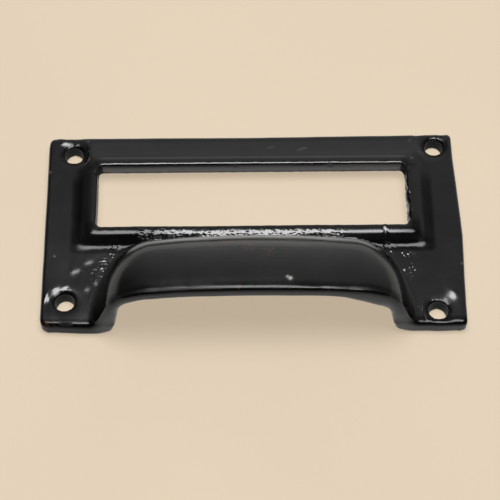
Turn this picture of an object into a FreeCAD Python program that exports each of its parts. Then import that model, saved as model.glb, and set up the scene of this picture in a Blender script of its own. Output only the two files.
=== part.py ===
import FreeCAD, Part
import math
import os
import Sketcher

# Label frame pull: one iron casting with a screw plate, a raised frame round a label window
# and a hollow finger hood. It lies on its back: the back face is at z = 0, +Z points out of
# the drawer front, +Y is up when it is mounted, and the origin is the centre of the back face.

NODE = "pull_casting"

# Driving sizes, in millimetres, with drafts in degrees.
SIZES = [
    ("plate_width", 100.0),
    ("plate_height", 52.4),
    ("plate_thickness", 3.8),
    ("plate_corner", 2.5),
    ("edge_round", 0.9),
    ("window_width", 75.6),
    ("window_height", 18.1),
    ("sill_width", 2.5),
    ("window_corner", 1.2),
    ("rim_width", 1.5),
    ("rim_raise", 1.9),
    ("bevel_width", 3.3),
    ("frame_land", 1.3),
    ("bevel_foot_round", 1.2),
    ("rim_ease", 0.5),
    ("window_ease", 0.35),
    ("hood_radius", 21.0),
    ("lip_land", 2.2),
    ("hood_width", 78.0),
    ("hood_draft", 19.8),
    ("hood_corner", 13.0),
    ("hood_crown_radius", 280.0),
    ("hood_root_ease", 0.6),
    ("lip_wall", 3.4),
    ("leg_wall", 4.4),
    ("cavity_draft", 18.0),
    ("cavity_overcut", 1.0),
    ("cavity_corner", 8.0),
    ("cavity_crown_radius", 290.0),
    ("leg_foot_ease", 1.3),
    ("lip_ease", 0.6),
    ("recess_depth", 1.5),
    ("recess_margin", 2.2),
    ("recess_corner", 1.5),
    ("hole_diameter", 4.8),
    ("hole_inset", 5.7),
    ("hole_top_left", 4.6),
    ("hole_top_right", 3.4),
    ("hole_bottom_left", 6.4),
    ("hole_bottom_right", 3.7),
    ("spot_diameter", 7.8),
    ("spot_depth", 0.3),
]

TOLERANCE = 0.01
EDGE_SAMPLES = 5

# The turn from the hood's front plane to its back plane, in degrees.
QUARTER_TURN = 90.0

doc = FreeCAD.newDocument("label_frame_pull")
sheet = doc.addObject("Spreadsheet::Sheet", "Sizes")
for row, (alias, number) in enumerate(SIZES, start=1):
    sheet.set(f"A{row}", alias)
    sheet.set(f"B{row}", str(number))
    sheet.setAlias(f"B{row}", alias)
doc.recompute()

body = doc.addObject("PartDesign::Body", NODE)
body.Label = NODE


def size(expression):
    """The number that an expression of the sheet's aliases gives now."""
    result = body.evalExpression(expression)
    return float(getattr(result, "Value", result))


def named(alias):
    return f"Sizes.{alias}"


def sketch_on_back(name, height="0", along="0", angle=0.0):
    """A sketch parallel to the back plane, raised, moved along Y and turned about X."""
    plane = next(item for item in body.Origin.OriginFeatures if item.Role == "XY_Plane")
    sketch = body.newObject("Sketcher::SketchObject", name)
    sketch.AttachmentSupport = [(plane, "")]
    sketch.MapMode = "FlatFace"
    turn = FreeCAD.Rotation(FreeCAD.Vector(1, 0, 0), angle)
    sketch.AttachmentOffset = FreeCAD.Placement(FreeCAD.Vector(0, size(along), size(height)), turn)
    sketch.setExpression("AttachmentOffset.Base.y", along)
    sketch.setExpression("AttachmentOffset.Base.z", height)
    return sketch


def hold(sketch, constraint, name, expression):
    """Add a driving constraint and tie it to the sheet."""
    index = sketch.addConstraint(constraint)
    sketch.renameConstraint(index, name)
    sketch.setExpression(f"Constraints.{name}", expression)


def rectangle(sketch, width, low, high):
    """A rectangle centred on the Y axis, from low to high above the plate's lower edge."""
    half = size(width) / 2
    bottom, top = size(low), size(high)
    corners = [(-half, bottom), (half, bottom), (half, top), (-half, top)]
    points = [FreeCAD.Vector(x, y, 0) for x, y in corners]
    for start, end in zip(points, points[1:] + points[:1]):
        sketch.addGeometry(Part.LineSegment(start, end), False)
    for side in range(4):
        sketch.addConstraint(Sketcher.Constraint("Coincident", side, 2, (side + 1) % 4, 1))
    sketch.addConstraint(Sketcher.Constraint("Symmetric", 0, 1, 0, 2, -2))
    sketch.addConstraint(Sketcher.Constraint("Symmetric", 2, 1, 2, 2, -2))
    sketch.addConstraint(Sketcher.Constraint("Vertical", 1))
    hold(sketch, Sketcher.Constraint("DistanceX", 0, 1, 0, 2, 2 * half), "width", width)
    hold(sketch, Sketcher.Constraint("DistanceY", -1, 1, 0, 1, bottom), "low", low)
    hold(sketch, Sketcher.Constraint("DistanceY", -1, 1, 2, 1, top), "high", high)


def arch(sketch, width, draft, corner, crown, reach):
    """A crowned arch with drafted sides, standing on the sketch's horizontal axis."""
    half, tilt = size(width) / 2, math.radians(size(draft))
    small, large, peak = size(corner), size(crown), size(reach)
    centre_y = peak - large
    # The corner's centre lies on a line inside the side, and inside the crown's circle.
    along = FreeCAD.Vector(-math.sin(tilt), math.cos(tilt), 0)
    inward = FreeCAD.Vector(-math.cos(tilt), -math.sin(tilt), 0)
    from_crown = FreeCAD.Vector(half, -centre_y, 0) + inward * small
    slope = from_crown.dot(along)
    lift = -slope + math.sqrt(slope ** 2 - from_crown.dot(from_crown) + (large - small) ** 2)
    foot = FreeCAD.Vector(half, 0, 0)
    side_end = foot + along * lift
    corner_centre = side_end + inward * small
    crown_centre = FreeCAD.Vector(0, centre_y, 0)
    outward = (corner_centre - crown_centre).normalize()

    def mirror(point):
        return FreeCAD.Vector(-point.x, point.y, 0)

    up = FreeCAD.Vector(0, 0, 1)
    crown_angle = math.atan2(outward.y, outward.x)
    right = Part.ArcOfCircle(Part.Circle(corner_centre, up, small), tilt, crown_angle)
    top = Part.ArcOfCircle(Part.Circle(crown_centre, up, large), crown_angle, math.pi - crown_angle)
    left_circle = Part.Circle(mirror(corner_centre), up, small)
    left = Part.ArcOfCircle(left_circle, math.pi - crown_angle, math.pi - tilt)
    sketch.addGeometry(Part.LineSegment(mirror(foot), foot), False)
    sketch.addGeometry(Part.LineSegment(foot, side_end), False)
    sketch.addGeometry(right, False)
    sketch.addGeometry(top, False)
    sketch.addGeometry(left, False)
    sketch.addGeometry(Part.LineSegment(mirror(side_end), mirror(foot)), False)
    sketch.addConstraint(Sketcher.Constraint("Coincident", 0, 2, 1, 1))
    for piece in range(1, 5):
        sketch.addConstraint(Sketcher.Constraint("Tangent", piece, 2, piece + 1, 1))
    sketch.addConstraint(Sketcher.Constraint("Coincident", 5, 2, 0, 1))
    sketch.addConstraint(Sketcher.Constraint("Symmetric", 0, 1, 0, 2, -2))
    sketch.addConstraint(Sketcher.Constraint("Symmetric", 1, 2, 5, 1, -2))
    sketch.addConstraint(Sketcher.Constraint("PointOnObject", 3, 3, -2))
    hold(sketch, Sketcher.Constraint("DistanceX", 0, 1, 0, 2, 2 * half), "width", width)
    sketch.addConstraint(Sketcher.Constraint("PointOnObject", 0, 1, -1))
    hold(sketch, Sketcher.Constraint("Angle", 1, math.pi / 2 + tilt), "side", f"90 + {draft}")
    hold(sketch, Sketcher.Constraint("Radius", 2, small), "corner", corner)
    hold(sketch, Sketcher.Constraint("Radius", 3, large), "crown", crown)
    drop = Sketcher.Constraint("DistanceY", 3, 3, -1, 1, large - peak)
    hold(sketch, drop, "crown_drop", f"{crown} - ({reach})")


def extrude(kind, name, sketch, length=None, reverse=False):
    """A Pad, or a Pocket that goes through everything where no length is given."""
    feature = body.newObject(f"PartDesign::{kind}", name)
    feature.Profile = sketch
    feature.Reversed = reverse
    if length is None:
        feature.Type = "ThroughAll"
    else:
        feature.setExpression("Length", length)
    doc.recompute()


def eased(kind, name, amount, belongs):
    """A Fillet or a Chamfer on the edges that pass a test of their sampled points and their faces."""
    base = body.Tip
    edges = []
    for number, edge in enumerate(base.Shape.Edges, start=1):
        points = edge.discretize(EDGE_SAMPLES)
        faces = base.Shape.ancestorsOfType(edge, Part.Face)
        if belongs(points, faces):
            edges.append(f"Edge{number}")
    if not edges:
        raise RuntimeError(f"{name}: no edge to ease")
    feature = body.newObject(f"PartDesign::{kind}", name)
    feature.Base = (base, edges)
    feature.setExpression("Radius" if kind == "Fillet" else "Size", amount)
    doc.recompute()


def near(first, second):
    return abs(first - second) < TOLERANCE


PLATE_WIDTH = named("plate_width")
PLATE_HEIGHT = named("plate_height")
PLATE_TOP = named("plate_thickness")
LOWER_EDGE = "-Sizes.plate_height / 2"
RIM_TOP = "Sizes.plate_thickness + Sizes.rim_raise"
WINDOW_LOW = "Sizes.lip_land + Sizes.hood_radius + Sizes.sill_width"
WINDOW_TOP = f"{WINDOW_LOW} + Sizes.window_height"
RIM_SPAN = "Sizes.window_width + 2 * Sizes.rim_width"
RIM_LOW = f"{WINDOW_LOW} - Sizes.rim_width"
RIM_HIGH = f"{WINDOW_TOP} + Sizes.rim_width"
FOOT_SPAN = f"{RIM_SPAN} + 2 * Sizes.bevel_width"
FOOT_LOW = f"{RIM_LOW} - Sizes.bevel_width"
FOOT_HIGH = "Sizes.plate_height - Sizes.frame_land"

lower_edge = size(LOWER_EDGE)
plate_top = size(PLATE_TOP)
rim_top = size(RIM_TOP)

# The screw plate.
outline = sketch_on_back("plate_outline", along=LOWER_EDGE)
rectangle(outline, PLATE_WIDTH, "0", PLATE_HEIGHT)
extrude("Pad", "plate", outline, PLATE_TOP)


def upright_at(half_width, *levels):
    """A test for the upright edges at a half width on both sides and at some levels along Y."""
    def belongs(points, faces):
        return all(
            near(abs(point.x), half_width) and any(near(point.y, level) for level in levels)
            for point in points)
    return belongs


plate_sides = size(PLATE_WIDTH) / 2
eased("Fillet", "plate_corners", named("plate_corner"), upright_at(plate_sides, lower_edge, -lower_edge))

# The raised label frame: bevels left, right and below, and a long slope to the top edge.
frame_foot = sketch_on_back("frame_foot", PLATE_TOP, LOWER_EDGE)
rectangle(frame_foot, FOOT_SPAN, FOOT_LOW, FOOT_HIGH)
frame_crest = sketch_on_back("frame_crest", RIM_TOP, LOWER_EDGE)
rectangle(frame_crest, RIM_SPAN, RIM_LOW, RIM_HIGH)
label_frame = body.newObject("PartDesign::AdditiveLoft", "label_frame")
label_frame.Profile = frame_foot
label_frame.Sections = [frame_crest]
label_frame.Ruled = True
doc.recompute()


def level_with(height, half_width, low, high):
    """A test for the edges of a level rectangle, given from the plate's lower edge."""
    def on_rectangle(point):
        beside = near(abs(point.x), half_width)
        across = near(point.y, lower_edge + low) or near(point.y, lower_edge + high)
        return near(point.z, height) and (beside or across)

    def belongs(points, faces):
        return all(on_rectangle(point) for point in points)
    return belongs


foot_edges = level_with(plate_top, size(FOOT_SPAN) / 2, size(FOOT_LOW), size(FOOT_HIGH))
eased("Fillet", "frame_foot_round", named("bevel_foot_round"), foot_edges)
rim_edges = level_with(rim_top, size(RIM_SPAN) / 2, size(RIM_LOW), size(RIM_HIGH))
eased("Chamfer", "rim_edges", named("rim_ease"), rim_edges)


def turned(kind, name, sketch):
    """A Revolution, or a Groove, from the front plane back about the sketch's horizontal axis."""
    feature = body.newObject(f"PartDesign::{kind}", name)
    feature.Profile = sketch
    feature.ReferenceAxis = (sketch, ["H_Axis"])
    feature.Angle = QUARTER_TURN
    feature.Reversed = True
    doc.recompute()


# The finger hood: an arch turned about a line in the back plane, with a short straight lip in front.
HOOD_AXIS = f"{LOWER_EDGE} + Sizes.lip_land"
hood_arch = sketch_on_back("hood_arch", along=HOOD_AXIS, angle=QUARTER_TURN)
arch(hood_arch, named("hood_width"), named("hood_draft"), named("hood_corner"),
     named("hood_crown_radius"), named("hood_radius"))
turned("Revolution", "hood", hood_arch)
extrude("Pad", "hood_lip", hood_arch, named("lip_land"))


def is_hood(face):
    return max(corner.Z for corner in face.Vertexes) > rim_top + TOLERANCE


def in_front(points):
    return all(near(point.y, lower_edge) for point in points)


def on_hood_root(points, faces):
    above_back = all(point.z > plate_top - TOLERANCE for point in points)
    return above_back and not in_front(points) and [is_hood(face) for face in faces].count(True) == 1


def on_outline(points, faces):
    """The plate's outer top edge, with the front edge of the hood."""
    def outside(point):
        into_x = abs(point.x) - plate_sides + size("Sizes.plate_corner")
        into_y = abs(point.y) + lower_edge + size("Sizes.plate_corner")
        if into_x > 0 and into_y > 0:
            return near(math.hypot(into_x, into_y), size("Sizes.plate_corner"))
        return near(abs(point.x), plate_sides) or near(abs(point.y), -lower_edge)

    return all(point.z > plate_top - TOLERANCE and outside(point) for point in points)


eased("Chamfer", "hood_root", named("hood_root_ease"), on_hood_root)
eased("Fillet", "outer_edges", named("edge_round"), on_outline)

# The hollow under the hood, open at the front and at the back: its axis is outside the casting.
CAVITY_WIDTH = "(Sizes.hood_width - 2 * Sizes.leg_wall)"
CAVITY_AXIS = f"{LOWER_EDGE} - Sizes.cavity_overcut"
CAVITY_FLARE = "2 * sqrt(2) * Sizes.cavity_overcut * tan(Sizes.cavity_draft * 1 deg)"
CAVITY_REACH = "Sizes.hood_radius - Sizes.lip_wall + Sizes.cavity_overcut"
cavity_arch = sketch_on_back("cavity_arch", "-Sizes.cavity_overcut", CAVITY_AXIS, QUARTER_TURN)
arch(cavity_arch, f"{CAVITY_WIDTH} + {CAVITY_FLARE}", named("cavity_draft"), named("cavity_corner"),
     named("cavity_crown_radius"), CAVITY_REACH)
turned("Groove", "hood_cavity", cavity_arch)


def around_cavity(point):
    across = abs(point.x) < size(CAVITY_WIDTH) / 2 + TOLERANCE
    return across and point.y < size(f"{HOOD_AXIS} + Sizes.hood_radius")


def on_back_opening(points, faces):
    """The cavity's edge in the back plane."""
    return all(near(point.z, 0) and around_cavity(point) for point in points) and not in_front(points)


def on_lip_inside(points, faces):
    """The cavity's edge in the front plane, inside the rounded outer edge."""
    roof = size("Sizes.hood_radius - Sizes.lip_wall / 2 - Sizes.edge_round / 2")
    side = size("Sizes.hood_width / 2 - Sizes.leg_wall / 2")
    middle = points[len(points) // 2]
    return in_front(points) and abs(middle.x) < side and TOLERANCE < middle.z < roof


eased("Chamfer", "leg_foot", named("leg_foot_ease"), on_back_opening)
eased("Chamfer", "lip_inside", named("lip_ease"), on_lip_inside)

# The label window, and the card recess behind it, open at the top edge.
window = sketch_on_back("window_outline", "0", LOWER_EDGE)
rectangle(window, named("window_width"), WINDOW_LOW, WINDOW_TOP)
extrude("Pocket", "label_window", window, reverse=True)
window_sides = size("Sizes.window_width / 2")
window_low, window_high = size(WINDOW_LOW), size(WINDOW_TOP)
window_corners = upright_at(window_sides, lower_edge + window_low, lower_edge + window_high)
eased("Fillet", "window_corners", named("window_corner"), window_corners)


def on_window_rim(points, faces):
    inside = all(
        abs(point.x) < window_sides + TOLERANCE
        and window_low - TOLERANCE < point.y - lower_edge < window_high + TOLERANCE
        for point in points)
    return inside and all(near(point.z, rim_top) for point in points)


eased("Chamfer", "window_edges", named("window_ease"), on_window_rim)
RECESS_WIDTH = "Sizes.window_width + 2 * Sizes.recess_margin"
RECESS_LOW = f"{WINDOW_LOW} - Sizes.recess_margin"
recess = sketch_on_back("recess_outline", "0", LOWER_EDGE)
rectangle(recess, RECESS_WIDTH, RECESS_LOW, PLATE_HEIGHT)
extrude("Pocket", "card_recess", recess, named("recess_depth"), reverse=True)
recess_corners = upright_at(size(RECESS_WIDTH) / 2, lower_edge + size(RECESS_LOW))
eased("Fillet", "recess_corners", named("recess_corner"), recess_corners)

# Screw holes, each drilled by hand at its own height, in shallow spot faces.
SIDE = "(Sizes.plate_width / 2 - Sizes.hole_inset)"
HOLES = [
    ("top_left", -1, "Sizes.plate_height - Sizes.hole_top_left"),
    ("top_right", 1, "Sizes.plate_height - Sizes.hole_top_right"),
    ("bottom_left", -1, "Sizes.hole_bottom_left"),
    ("bottom_right", 1, "Sizes.hole_bottom_right"),
]


def hole_circles(sketch, diameter):
    origin = (-1, 1)
    for number, (name, side, rise) in enumerate(HOLES):
        centre = FreeCAD.Vector(side * size(SIDE), size(rise), 0)
        circle = Part.Circle(centre, FreeCAD.Vector(0, 0, 1), size(diameter) / 2)
        sketch.addGeometry(circle, False)
        ends = (number, 3, *origin) if side < 0 else (*origin, number, 3)
        hold(sketch, Sketcher.Constraint("DistanceX", *ends, size(SIDE)), f"{name}_side", SIDE)
        rise_hold = Sketcher.Constraint("DistanceY", *origin, number, 3, size(rise))
        hold(sketch, rise_hold, f"{name}_rise", rise)
        width_hold = Sketcher.Constraint("Diameter", number, size(diameter))
        hold(sketch, width_hold, f"{name}_diameter", diameter)


spots = sketch_on_back("spot_circles", "Sizes.plate_thickness - Sizes.spot_depth", LOWER_EDGE)
hole_circles(spots, named("spot_diameter"))
extrude("Pocket", "spot_faces", spots, reverse=True)
holes = sketch_on_back("hole_circles", "0", LOWER_EDGE)
hole_circles(holes, named("hole_diameter"))
extrude("Pocket", "screw_holes", holes, reverse=True)

doc.recompute()
for item in doc.Objects:
    if "Invalid" in item.State or "Error" in item.State:
        raise RuntimeError(f"{item.Name} failed: {item.State}")
for item in body.Group:
    if item.TypeId in ("PartDesign::Pocket", "PartDesign::Groove"):
        if item.Shape.Volume > item.BaseFeature.Shape.Volume - TOLERANCE:
            raise RuntimeError(f"{item.Name} cuts nothing")
shape = body.Shape
if shape.isNull() or not shape.isValid() or len(shape.Solids) != 1:
    raise RuntimeError("the casting is not one valid solid")
os.makedirs("parts", exist_ok=True)
shape.exportStep(f"parts/{NODE}.step")
print(NODE, "volume", round(shape.Volume, 1), "box", shape.BoundBox)
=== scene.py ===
import math

import bmesh
import bpy
import numpy as np
from bpy.props import FloatProperty, FloatVectorProperty, IntProperty, PointerProperty
from mathutils import Matrix, Vector, noise


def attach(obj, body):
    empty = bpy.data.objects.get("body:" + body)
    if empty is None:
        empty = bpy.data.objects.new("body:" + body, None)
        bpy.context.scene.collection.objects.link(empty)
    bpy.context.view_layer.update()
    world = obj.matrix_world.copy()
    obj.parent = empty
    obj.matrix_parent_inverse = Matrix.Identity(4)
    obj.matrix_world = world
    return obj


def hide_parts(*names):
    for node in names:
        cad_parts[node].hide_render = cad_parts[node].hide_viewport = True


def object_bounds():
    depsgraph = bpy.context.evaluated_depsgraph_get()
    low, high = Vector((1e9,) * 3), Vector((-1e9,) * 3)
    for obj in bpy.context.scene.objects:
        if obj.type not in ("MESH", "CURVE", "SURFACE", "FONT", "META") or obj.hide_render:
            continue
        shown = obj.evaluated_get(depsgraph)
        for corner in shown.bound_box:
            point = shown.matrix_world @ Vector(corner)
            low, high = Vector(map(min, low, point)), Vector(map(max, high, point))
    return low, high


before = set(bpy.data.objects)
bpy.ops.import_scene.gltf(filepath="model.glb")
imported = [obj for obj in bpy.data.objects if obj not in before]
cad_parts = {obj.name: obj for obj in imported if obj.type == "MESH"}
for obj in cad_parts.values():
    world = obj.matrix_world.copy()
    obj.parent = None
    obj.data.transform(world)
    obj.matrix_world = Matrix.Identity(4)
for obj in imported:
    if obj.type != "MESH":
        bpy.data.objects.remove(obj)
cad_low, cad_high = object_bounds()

bl_info = {
    "name": "Label Frame Pull",
    "version": (1, 0, 0),
    "blender": (4, 5, 0),
    "location": "View3D > Sidebar > Label Pull",
    "description": "Builds a black lacquered iron label frame pull and its studio stage",
    "category": "Object",
}

NODE = "pull_casting"
BODY = "root"
PIECE = "lacquered_casting"

# Shapes are worked out in millimetres, in the part's own frame, and brought to metres at the end.
MM = 1000.0
HALF_WIDTH = cad_high.x * MM
HALF_HEIGHT = cad_high.y * MM

# The casting's own levels and edges. A rectangle is its half width, its low side and its high side.
PLATE_TOP = 3.8
RIM_TOP = 5.7
WINDOW = (37.8, -0.5, 17.6)
RIM = (39.3, -2.0, 19.1)
BEVEL_FOOT = (42.6, -5.3, 24.9)
HOOD_HALF_WIDTH = 39.0
HOOD_SLOPE = 0.36
PLATE_CORNER = 2.5
HOLE_RADIUS = 2.4
SPOT_RADIUS = 3.9

# The plate's corners: the power of the curve that squares them, and how far the lower and the
# upper left corner follow it.
SQUARENESS = 5
LEFT_CORNER_SHARES = (0.3, 0.6)

# In all that follows, a smooth step is a pair: where it begins, and where it is complete.

# The front of the plate and the frame, by height.
FRONT_FROM = (PLATE_TOP - 1.0, PLATE_TOP - 0.5)
FRONT_TO = (RIM_TOP + 0.2, RIM_TOP + 0.6)

# The screw holes: place in the solid, and the small shift of the drill on the real casting.
HOLES = [
    ((-44.3, 21.6), (0.3, 0.0)),
    ((44.3, 22.8), (1.0, 0.4)),
    ((-44.3, -19.8), (-0.3, 0.1)),
    ((44.3, -22.5), (-0.9, -0.2)),
]

# How much of the spot face round each hole still shows through the lacquer, where it lies, and the
# band along its edge that is rounded.
SPOT_SHARES = (0.4, 1.0, 0.25, 0.2)
SPOT_RING = (HOLE_RADIUS + 0.15, SPOT_RADIUS + 0.3)
SPOT_DEPTH = 0.6
SPOT_BAND = (0.7, 1.4)

# How far each hole's front edge is rounded, and on which side of it, in degrees from +X. Then how
# soft that band is, and its steps towards that side, up the wall and in from the plate's edge.
HOLE_ROUNDS = ((0.3, 120.0), (0.3, 90.0), (0.9, 140.0), (0.3, 70.0))
ROUND_FADE = 0.6
ROUND_SIDE = (-0.8, 1.2)
ROUND_FROM = (1.2, 2.0)
ROUND_INSIDE = (0.6, 1.4)

# How the drill left the holes: true close to the edge, narrower towards the back, slanted down the
# plate there, and shifted together with the skin round them.
HOLE_TRUE = (0.1, 0.8)
HOLE_TAPER = 0.3
HOLE_TAPER_REACH = (HOLE_RADIUS + 0.6, HOLE_RADIUS + 1.4)
HOLE_SLANTS = (0.0, 0.1, 0.0, 0.0)
HOLE_SHIFT_REACH = (SPOT_RADIUS - 1.0, SPOT_RADIUS + 1.4)

# The rubbed ring round each hole, its wall, and how much of the top coat's gloss is left on the wall.
HOLE_RUBBED = (HOLE_RADIUS + 0.6, HOLE_RADIUS + 1.0)
HOLE_WALL = (HOLE_RADIUS + 0.1, HOLE_RADIUS + 0.4)
HOLE_BARE = (HOLE_RADIUS + 0.2, HOLE_RADIUS + 0.5)
HOLE_WALL_TO = (2.6, 3.2)
HOLE_GLOSS = 0.4

# Coarse sand grain beside the hood: centre, reach and strength of each patch. Then the patches' edge,
# and how far the skin has to face up.
GRAIN_PATCHES = [
    ((-33.0, -6.0), 2.4, 1.0),
    ((-35.4, -9.4), 1.8, 0.8),
    ((-37.0, -12.2), 2.0, 0.8),
    ((32.6, -5.9), 1.8, 1.7),
    ((36.6, -7.4), 1.6, 1.3),
    ((37.3, -11.4), 1.8, 1.3),
    ((37.4, -14.4), 0.9, 1.0),
    ((39.4, -21.2), 1.6, 0.4),
]
GRAIN_EDGE = (0.2, 0.8)
GRAIN_FACING = (0.3, 0.7)

# The sand's specks: height and length of the creased and the smooth noise, and how they scatter.
SAND_FLAKE = (0.22, 0.6)
SAND_WAVE = (0.07, 0.45)
SAND_SCATTER = (-0.6, 0.0)
SAND_SCATTER_LENGTH = 1.3

# The rough sill between the window and the hood: its ends, and its lower and upper edge at each end.
SILL_ENDS = (-27.8, 22.4)
SILL_LOW = (-3.2, -3.7)
SILL_HIGH = (-1.3, -1.7)
SILL_END_FADE = 2.0
SILL_EDGE_FADE = 0.5
SILL_STRENGTH = ((-28.0, -16.0, 10.0, 22.0), (1.8, 1.0, 1.0, 0.9))
SILL_GLOSSY = (-27.0, -17.0)

# The sill's flakes: their stretch along the sill, and height and length of the two noises.
SILL_STRETCH = (1.4, 0.8, 0.8)
SILL_FLAKE = (0.11, 0.9)
SILL_WAVE = (0.05, 0.4)

# Smooth facets in the skin that catch the light: centre, half length and half width, direction
# in degrees from +X, and the slope towards the lower edge.
GLINTS = [
    ((-45.9, 24.5), (1.5, 0.45), 25.0, 0.22),
    ((-48.5, -18.9), (1.6, 0.85), 84.0, 0.10),
    ((-48.5, -18.7), (1.1, 0.4), 80.0, 0.05),
    ((-47.9, -17.6), (0.8, 0.4), 55.0, 0.07),
    ((-47.0, -16.5), (1.4, 0.4), 31.0, 0.10),
    ((-44.2, -15.8), (0.6, 0.25), 10.0, 0.09),
    ((46.7, -18.7), (2.1, 1.2), 125.0, 0.10),
    ((47.1, -19.0), (1.7, 0.45), 115.0, 0.06),
    ((-42.3, -11.6), (1.5, 0.7), 45.0, 0.085),
    ((-39.3, -9.2), (1.3, 0.7), 30.0, 0.075),
    ((-39.4, -16.5), (0.9, 0.6), 60.0, 0.075),
    ((-37.4, -14.8), (0.7, 0.5), 60.0, 0.075),
    ((38.2, -7.4), (1.1, 0.6), 15.0, 0.11),
    ((40.2, -23.0), (1.0, 0.5), 80.0, 0.09),
    ((41.2, -21.6), (0.8, 0.4), 20.0, 0.09),
    ((31.9, -1.5), (0.5, 0.4), 90.0, 0.30),
]

# How sharply a facet's slope turns back at its edges, how far along the plate it fades out, which
# shares of its round spot are its whole area and its bright heart, and how far the skin has to face up.
FACET_TURN = 1.2
FACET_FADE = 3.2
FACET_AREA = (0.2, 0.4)
FACET_HEART = (0.5, 0.8)
FACET_FACING = (0.3, 0.8)

# Bare specks where the lacquer is chipped: centre, reach and strength. Scratches: their ends.
CHIPS = [
    ((7.5, -22.9, 20.9), 0.3, 0.7),
    ((8.1, -23.3, 20.9), 0.4, 0.9),
    ((-49.6, 16.6, 3.5), 0.25, 0.5),
    ((-47.6, -7.2, 3.8), 0.22, 0.25),
    ((49.8, -10.2, 3.5), 0.25, 0.4),
    ((-40.6, 25.5, 3.6), 0.25, 0.3),
    ((39.5, 18.9, 5.6), 0.25, 0.4),
]
SCRATCHES = [
    ((4.2, 22.6), (5.4, 23.2)),
    ((11.4, 21.8), (13.2, 22.5)),
    ((12.6, 22.5), (13.6, 22.6)),
    ((39.3, 24.8), (39.7, 25.6)),
]
SCRATCH_WIDTH = 0.22
SCRATCH_STRENGTH = 0.06

# Rust blooms: centre, reach and strength.
RUST_SPOTS = [
    ((-40.0, 19.4, 4.7), 0.7, 1.9),
    ((-39.0, 19.8, 4.9), 0.6, 1.5),
    ((-3.3, -25.4, 20.7), 0.8, 1.3),
    ((25.6, -25.4, 19.4), 0.6, 1.2),
    ((-48.4, -25.2, 3.4), 1.0, 1.4),
    ((-46.6, -25.8, 3.2), 0.8, 1.2),
    ((-1.5, -13.5, 18.1), 3.2, 0.88),
    ((-6.0, -11.5, 16.6), 2.4, 0.88),
    ((3.5, -15.0, 18.8), 2.6, 0.88),
]

# Smoothing moves a point this share of the way in each round. It draws edges in, and a second
# smoothing the other way brings them back out.
RELAX_STEP = 0.5
SWELL_BACK = 1.05

# How far the sides, the top and the bottom stand off the solid's straight outline, along the plate,
# how wide a border of the plate moves with them, and how closely the screw holes are held.
LEFT_SWELL = 0.3
RIGHT_LEAN = (
    (-24.0, -21.0, -13.0, -7.4, -2.0, 3.4, 9.0, 14.0, 20.0, 26.2),
    (0.2, 0.16, 0.38, 0.59, 0.78, 0.57, 0.32, 0.14, -0.12, -0.10),
)
TOP_RISE = ((-50.0, 0.0, 50.0), (0.60, 0.50, 0.95))
LOW_DROP = (
    (-46.9, -41.0, -35.0, -29.0, -23.0, -17.0, 17.0, 24.5, 30.5, 36.5, 50.0),
    (-0.20, 0.16, 0.22, 0.42, 0.40, 0.16, 0.16, 0.36, 0.36, 0.30, 0.35),
)
SIDE_BORDER = (0.86 * HALF_WIDTH, 0.98 * HALF_WIDTH)
TOP_BORDER = (0.8 * HALF_HEIGHT, HALF_HEIGHT)
LOW_BORDER = (-HALF_HEIGHT, 2.5 - HALF_HEIGHT)
HOLE_HELD = (HOLE_RADIUS + 0.1, HOLE_RADIUS + 1.0)

# How far the window's top and bottom edges stand in over the opening at the front and at the back,
# and the steps of that away from the opening, up to the front, and towards the two edges.
WINDOW_TOP = (0.72, 0.2)
WINDOW_LOW = (0.55, 0.1)
WINDOW_BESIDE = (0.3, 1.6)
WINDOW_FRONT = (1.5, 5.0)
WINDOW_FRONT_TO = (6.0, 6.4)
WINDOW_EDGE = (-2.0, -0.4)

# How far the frame's lower foot lies up the plate, from left to right, clear of the hood.
FOOT_RISE = ((-30.0, 30.0), (0.65, 0.2))
FOOT_REACH = 1.5
FOOT_CLEAR = (26.0, 29.0)

# The frame's top land stands a little over the slope above it, and leans up towards the window.
LAND_STEP = 0.32
LAND_LEAN = 0.4
LAND_STEP_TO = (RIM[2] - 0.1, RIM[2] + 0.4)
LAND_LEAN_TO = (WINDOW[2] - 0.4, RIM[2] + 0.2)
LAND_SIDE = (RIM[0] - 2.4, RIM[0] - 0.6)
LAND_LOW = (14.0, 16.0)
LAND_FROM = (4.0, 5.0)

# How far smoothing rounds the frame's edges, where 1 is as far as the spot faces' edges, and the
# bands beside them. Then the round corners of the frame, below and above.
RIM_ROUND = 0.25
RIM_BAND = (0.6, 1.4)
SIGHT_ROUND = 0.5
SIGHT_BAND = (0.3, 0.9)
SIGHT_FROM = (4.0, 4.8)
CORNER_REACHES = (1.9, 1.6)

# The window's top sight edge: its finely divided line, its rubbed line, and how much that is rubbed
# from left to right.
SIGHT_LINE = (0.4, 0.8)
SIGHT_LINE_FROM = (4.6, 5.0)
SIGHT_RUB = (0.3, 0.6)
SIGHT_RUB_FROM = (4.8, 5.2)
SIGHT_RUBBED = (
    (-37.6, -35.0, -6.0, -3.0, 9.0, 11.0, 17.0, 19.0, 37.5),
    (0.5, 1.0, 1.0, 0.7, 0.6, 1.0, 1.0, 0.4, 0.5),
)

# The hood's two legs: where they turn round without an edge, and the outer front edge of each.
LEG_OUT = (27.0, 32.0)
LEG_FRONT = (-24.0, -17.0)
LEG_FROM = (3.7, 5.6)
LEG_TO = (14.0, 18.5)
LEG_EDGE = (-2.8, -0.4)
LEG_EDGE_FRONT = (-23.0, -20.0)
LEG_EDGE_FROM = (4.0, 4.6)
LEG_EDGE_TO = (9.0, 15.0)
LEG_RAW = 0.55

# The hollow: how far the legs' inner sides lean in below, and where they are.
LEG_LEAN = 0.8
LEAN_TO = (4.0, 12.0)
LEAN_FRONT = (-19.0, -14.0)
LEAN_INNER = (29.0, 32.0)
LEAN_OUTER = (35.2, 37.0)
LEAN_FACING = (-0.3, 0.2)

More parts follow.
